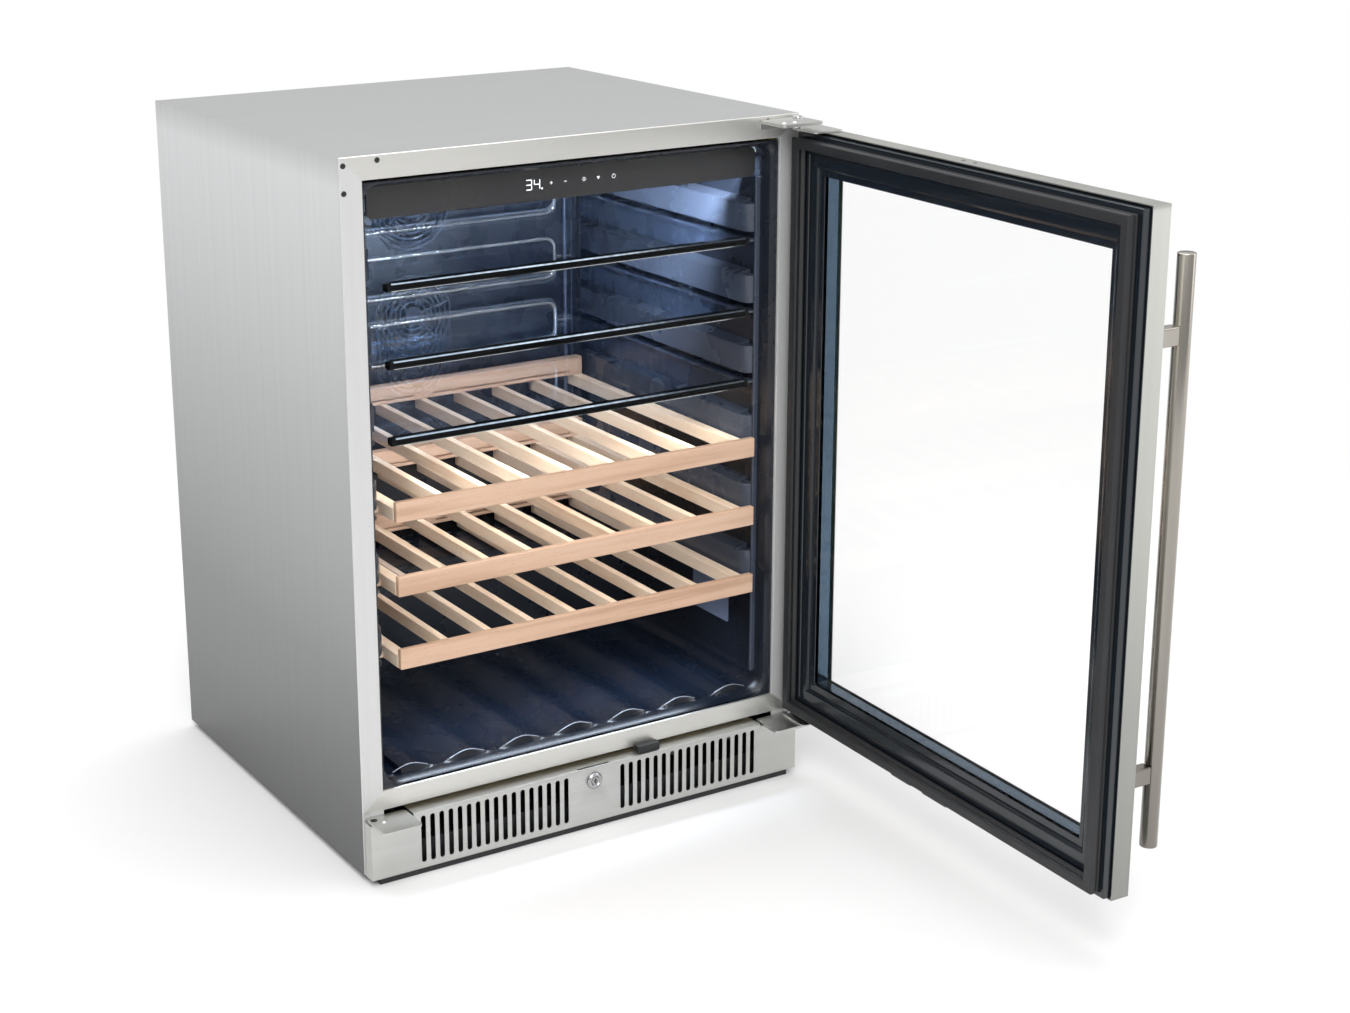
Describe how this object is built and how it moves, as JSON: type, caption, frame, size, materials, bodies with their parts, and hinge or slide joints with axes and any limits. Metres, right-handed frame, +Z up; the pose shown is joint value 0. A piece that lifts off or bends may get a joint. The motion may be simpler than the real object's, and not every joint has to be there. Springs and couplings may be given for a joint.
{
  "type": "wine cooler",
  "caption": "Under-counter wine cooler: steel cabinet, glass door on side hinges, pull-out glass shelves and beech racks, vented kick plate with a lock.",
  "frame": {"origin": "on the floor, on the cabinet's centre line, in the front plane of the face frame: the middle of the underside of the base front rail, at that plane", "axes": "+X to the right seen from the front, -Y out of the front, +Z up"},
  "size_m": [0.6605, 1.1289, 0.836],
  "materials": {
    "brushed_steel": "satin",
    "satin_steel": "satin",
    "handle_steel": "satin",
    "chrome": "polished",
    "zinc_sheet": "satin",
    "dark_paint": "satin",
    "aluminium": "satin",
    "liner_plastic": "gloss",
    "panel_plastic": "satin",
    "black_plastic": "satin",
    "light_lens": "matte",
    "rubber": "matte",
    "foam": "matte",
    "beech": "satin",
    "glass": "gloss"
  },
  "bodies": {
    "cabinet": {"cabinet_wrap": "brushed_steel", "back_panel": "zinc_sheet", "base_pan": "zinc_sheet", "base_front_rail": "black_plastic", "foot_left_front": "black_plastic", "foot_right_front": "black_plastic", "foot_left_rear": "black_plastic", "foot_right_rear": "black_plastic", "face_frame": "satin_steel", "inner_liner": "liner_plastic", "insulation_foam": "foam", "rear_duct_cover": "liner_plastic", "fan_grille_upper": "liner_plastic", "fan_grille_lower": "liner_plastic", "evaporator_coil": "aluminium", "compressor": "dark_paint", "drain_pan": "black_plastic", "condenser": "dark_paint", "control_panel": "panel_plastic", "light_strip": "light_lens", "kick_plate": "satin_steel", "lock_housing": "chrome", "door_sensor": "black_plastic", "hinge_bracket_lower_right": "satin_steel", "hinge_bracket_lower_left": "satin_steel", "hinge_pin_lower": "chrome", "hinge_bracket_top": "satin_steel", "hinge_pin_top": "chrome"},
    "door": {"door_outer_frame": "brushed_steel", "door_inner_frame": "black_plastic", "door_glass_outer": "glass", "door_glass_inner": "glass", "door_glass_spacer": "black_plastic", "door_gasket": "rubber", "lock_keeper": "black_plastic", "sensor_magnet": "black_plastic", "handle_bar": "handle_steel", "handle_post_lower": "handle_steel", "handle_post_upper": "handle_steel", "hinge_leaf_top": "satin_steel", "hinge_leaf_lower": "satin_steel"},
    "lock": {"lock_cylinder": "chrome"},
    "evaporator_fan_upper": {"evaporator_fan_upper": "black_plastic"},
    "evaporator_fan_lower": {"evaporator_fan_lower": "black_plastic"},
    "condenser_fan": {"condenser_fan": "black_plastic"},
    "glass_shelf_1": {"glass_shelf_1_pane": "glass", "glass_shelf_1_trim": "black_plastic", "glass_shelf_1_guard": "chrome"},
    "glass_shelf_2": {"glass_shelf_2_pane": "glass", "glass_shelf_2_trim": "black_plastic", "glass_shelf_2_guard": "chrome"},
    "glass_shelf_3": {"glass_shelf_3_pane": "glass", "glass_shelf_3_trim": "black_plastic", "glass_shelf_3_guard": "chrome"},
    "wood_rack_1": {"wood_rack_1_front_bar": "beech", "wood_rack_1_frame": "beech"},
    "wood_rack_2": {"wood_rack_2_front_bar": "beech", "wood_rack_2_frame": "beech"},
    "wood_rack_3": {"wood_rack_3_front_bar": "beech", "wood_rack_3_frame": "beech"}
  },
  "joints": [
    {"name": "door_swing", "type": "hinge", "parent": "cabinet", "child": "door", "pos_m": [0.2885, -0.0095, 0.45], "axis": [0, 0, 1], "range_deg": [-88, 20]},
    {"name": "glass_shelf_1_slide", "type": "slide", "parent": "cabinet", "child": "glass_shelf_1", "axis": [0, -1, 0], "range_m": [0, 0.28]},
    {"name": "glass_shelf_2_slide", "type": "slide", "parent": "cabinet", "child": "glass_shelf_2", "axis": [0, -1, 0], "range_m": [0, 0.28]},
    {"name": "glass_shelf_3_slide", "type": "slide", "parent": "cabinet", "child": "glass_shelf_3", "axis": [0, -1, 0], "range_m": [0, 0.28]},
    {"name": "wood_rack_1_slide", "type": "slide", "parent": "cabinet", "child": "wood_rack_1", "axis": [0, -1, 0], "range_m": [0, 0.3]},
    {"name": "wood_rack_2_slide", "type": "slide", "parent": "cabinet", "child": "wood_rack_2", "axis": [0, -1, 0], "range_m": [0, 0.3]},
    {"name": "wood_rack_3_slide", "type": "slide", "parent": "cabinet", "child": "wood_rack_3", "axis": [0, -1, 0], "range_m": [0, 0.3]},
    {"name": "lock_turn", "type": "hinge", "parent": "cabinet", "child": "lock", "pos_m": [0, -0.0173, 0.062], "axis": [0, -1, 0], "range_deg": [0, 90]},
    {"name": "evaporator_fan_upper_spin", "type": "hinge", "parent": "cabinet", "child": "evaporator_fan_upper", "pos_m": [0, 0.449, 0.686], "axis": [0, 1, 0], "continuous": true},
    {"name": "evaporator_fan_lower_spin", "type": "hinge", "parent": "cabinet", "child": "evaporator_fan_lower", "pos_m": [0, 0.449, 0.544], "axis": [0, 1, 0], "continuous": true},
    {"name": "condenser_fan_spin", "type": "hinge", "parent": "cabinet", "child": "condenser_fan", "pos_m": [0.165, 0.15, 0.045], "axis": [0, 1, 0], "continuous": true}
  ]
}
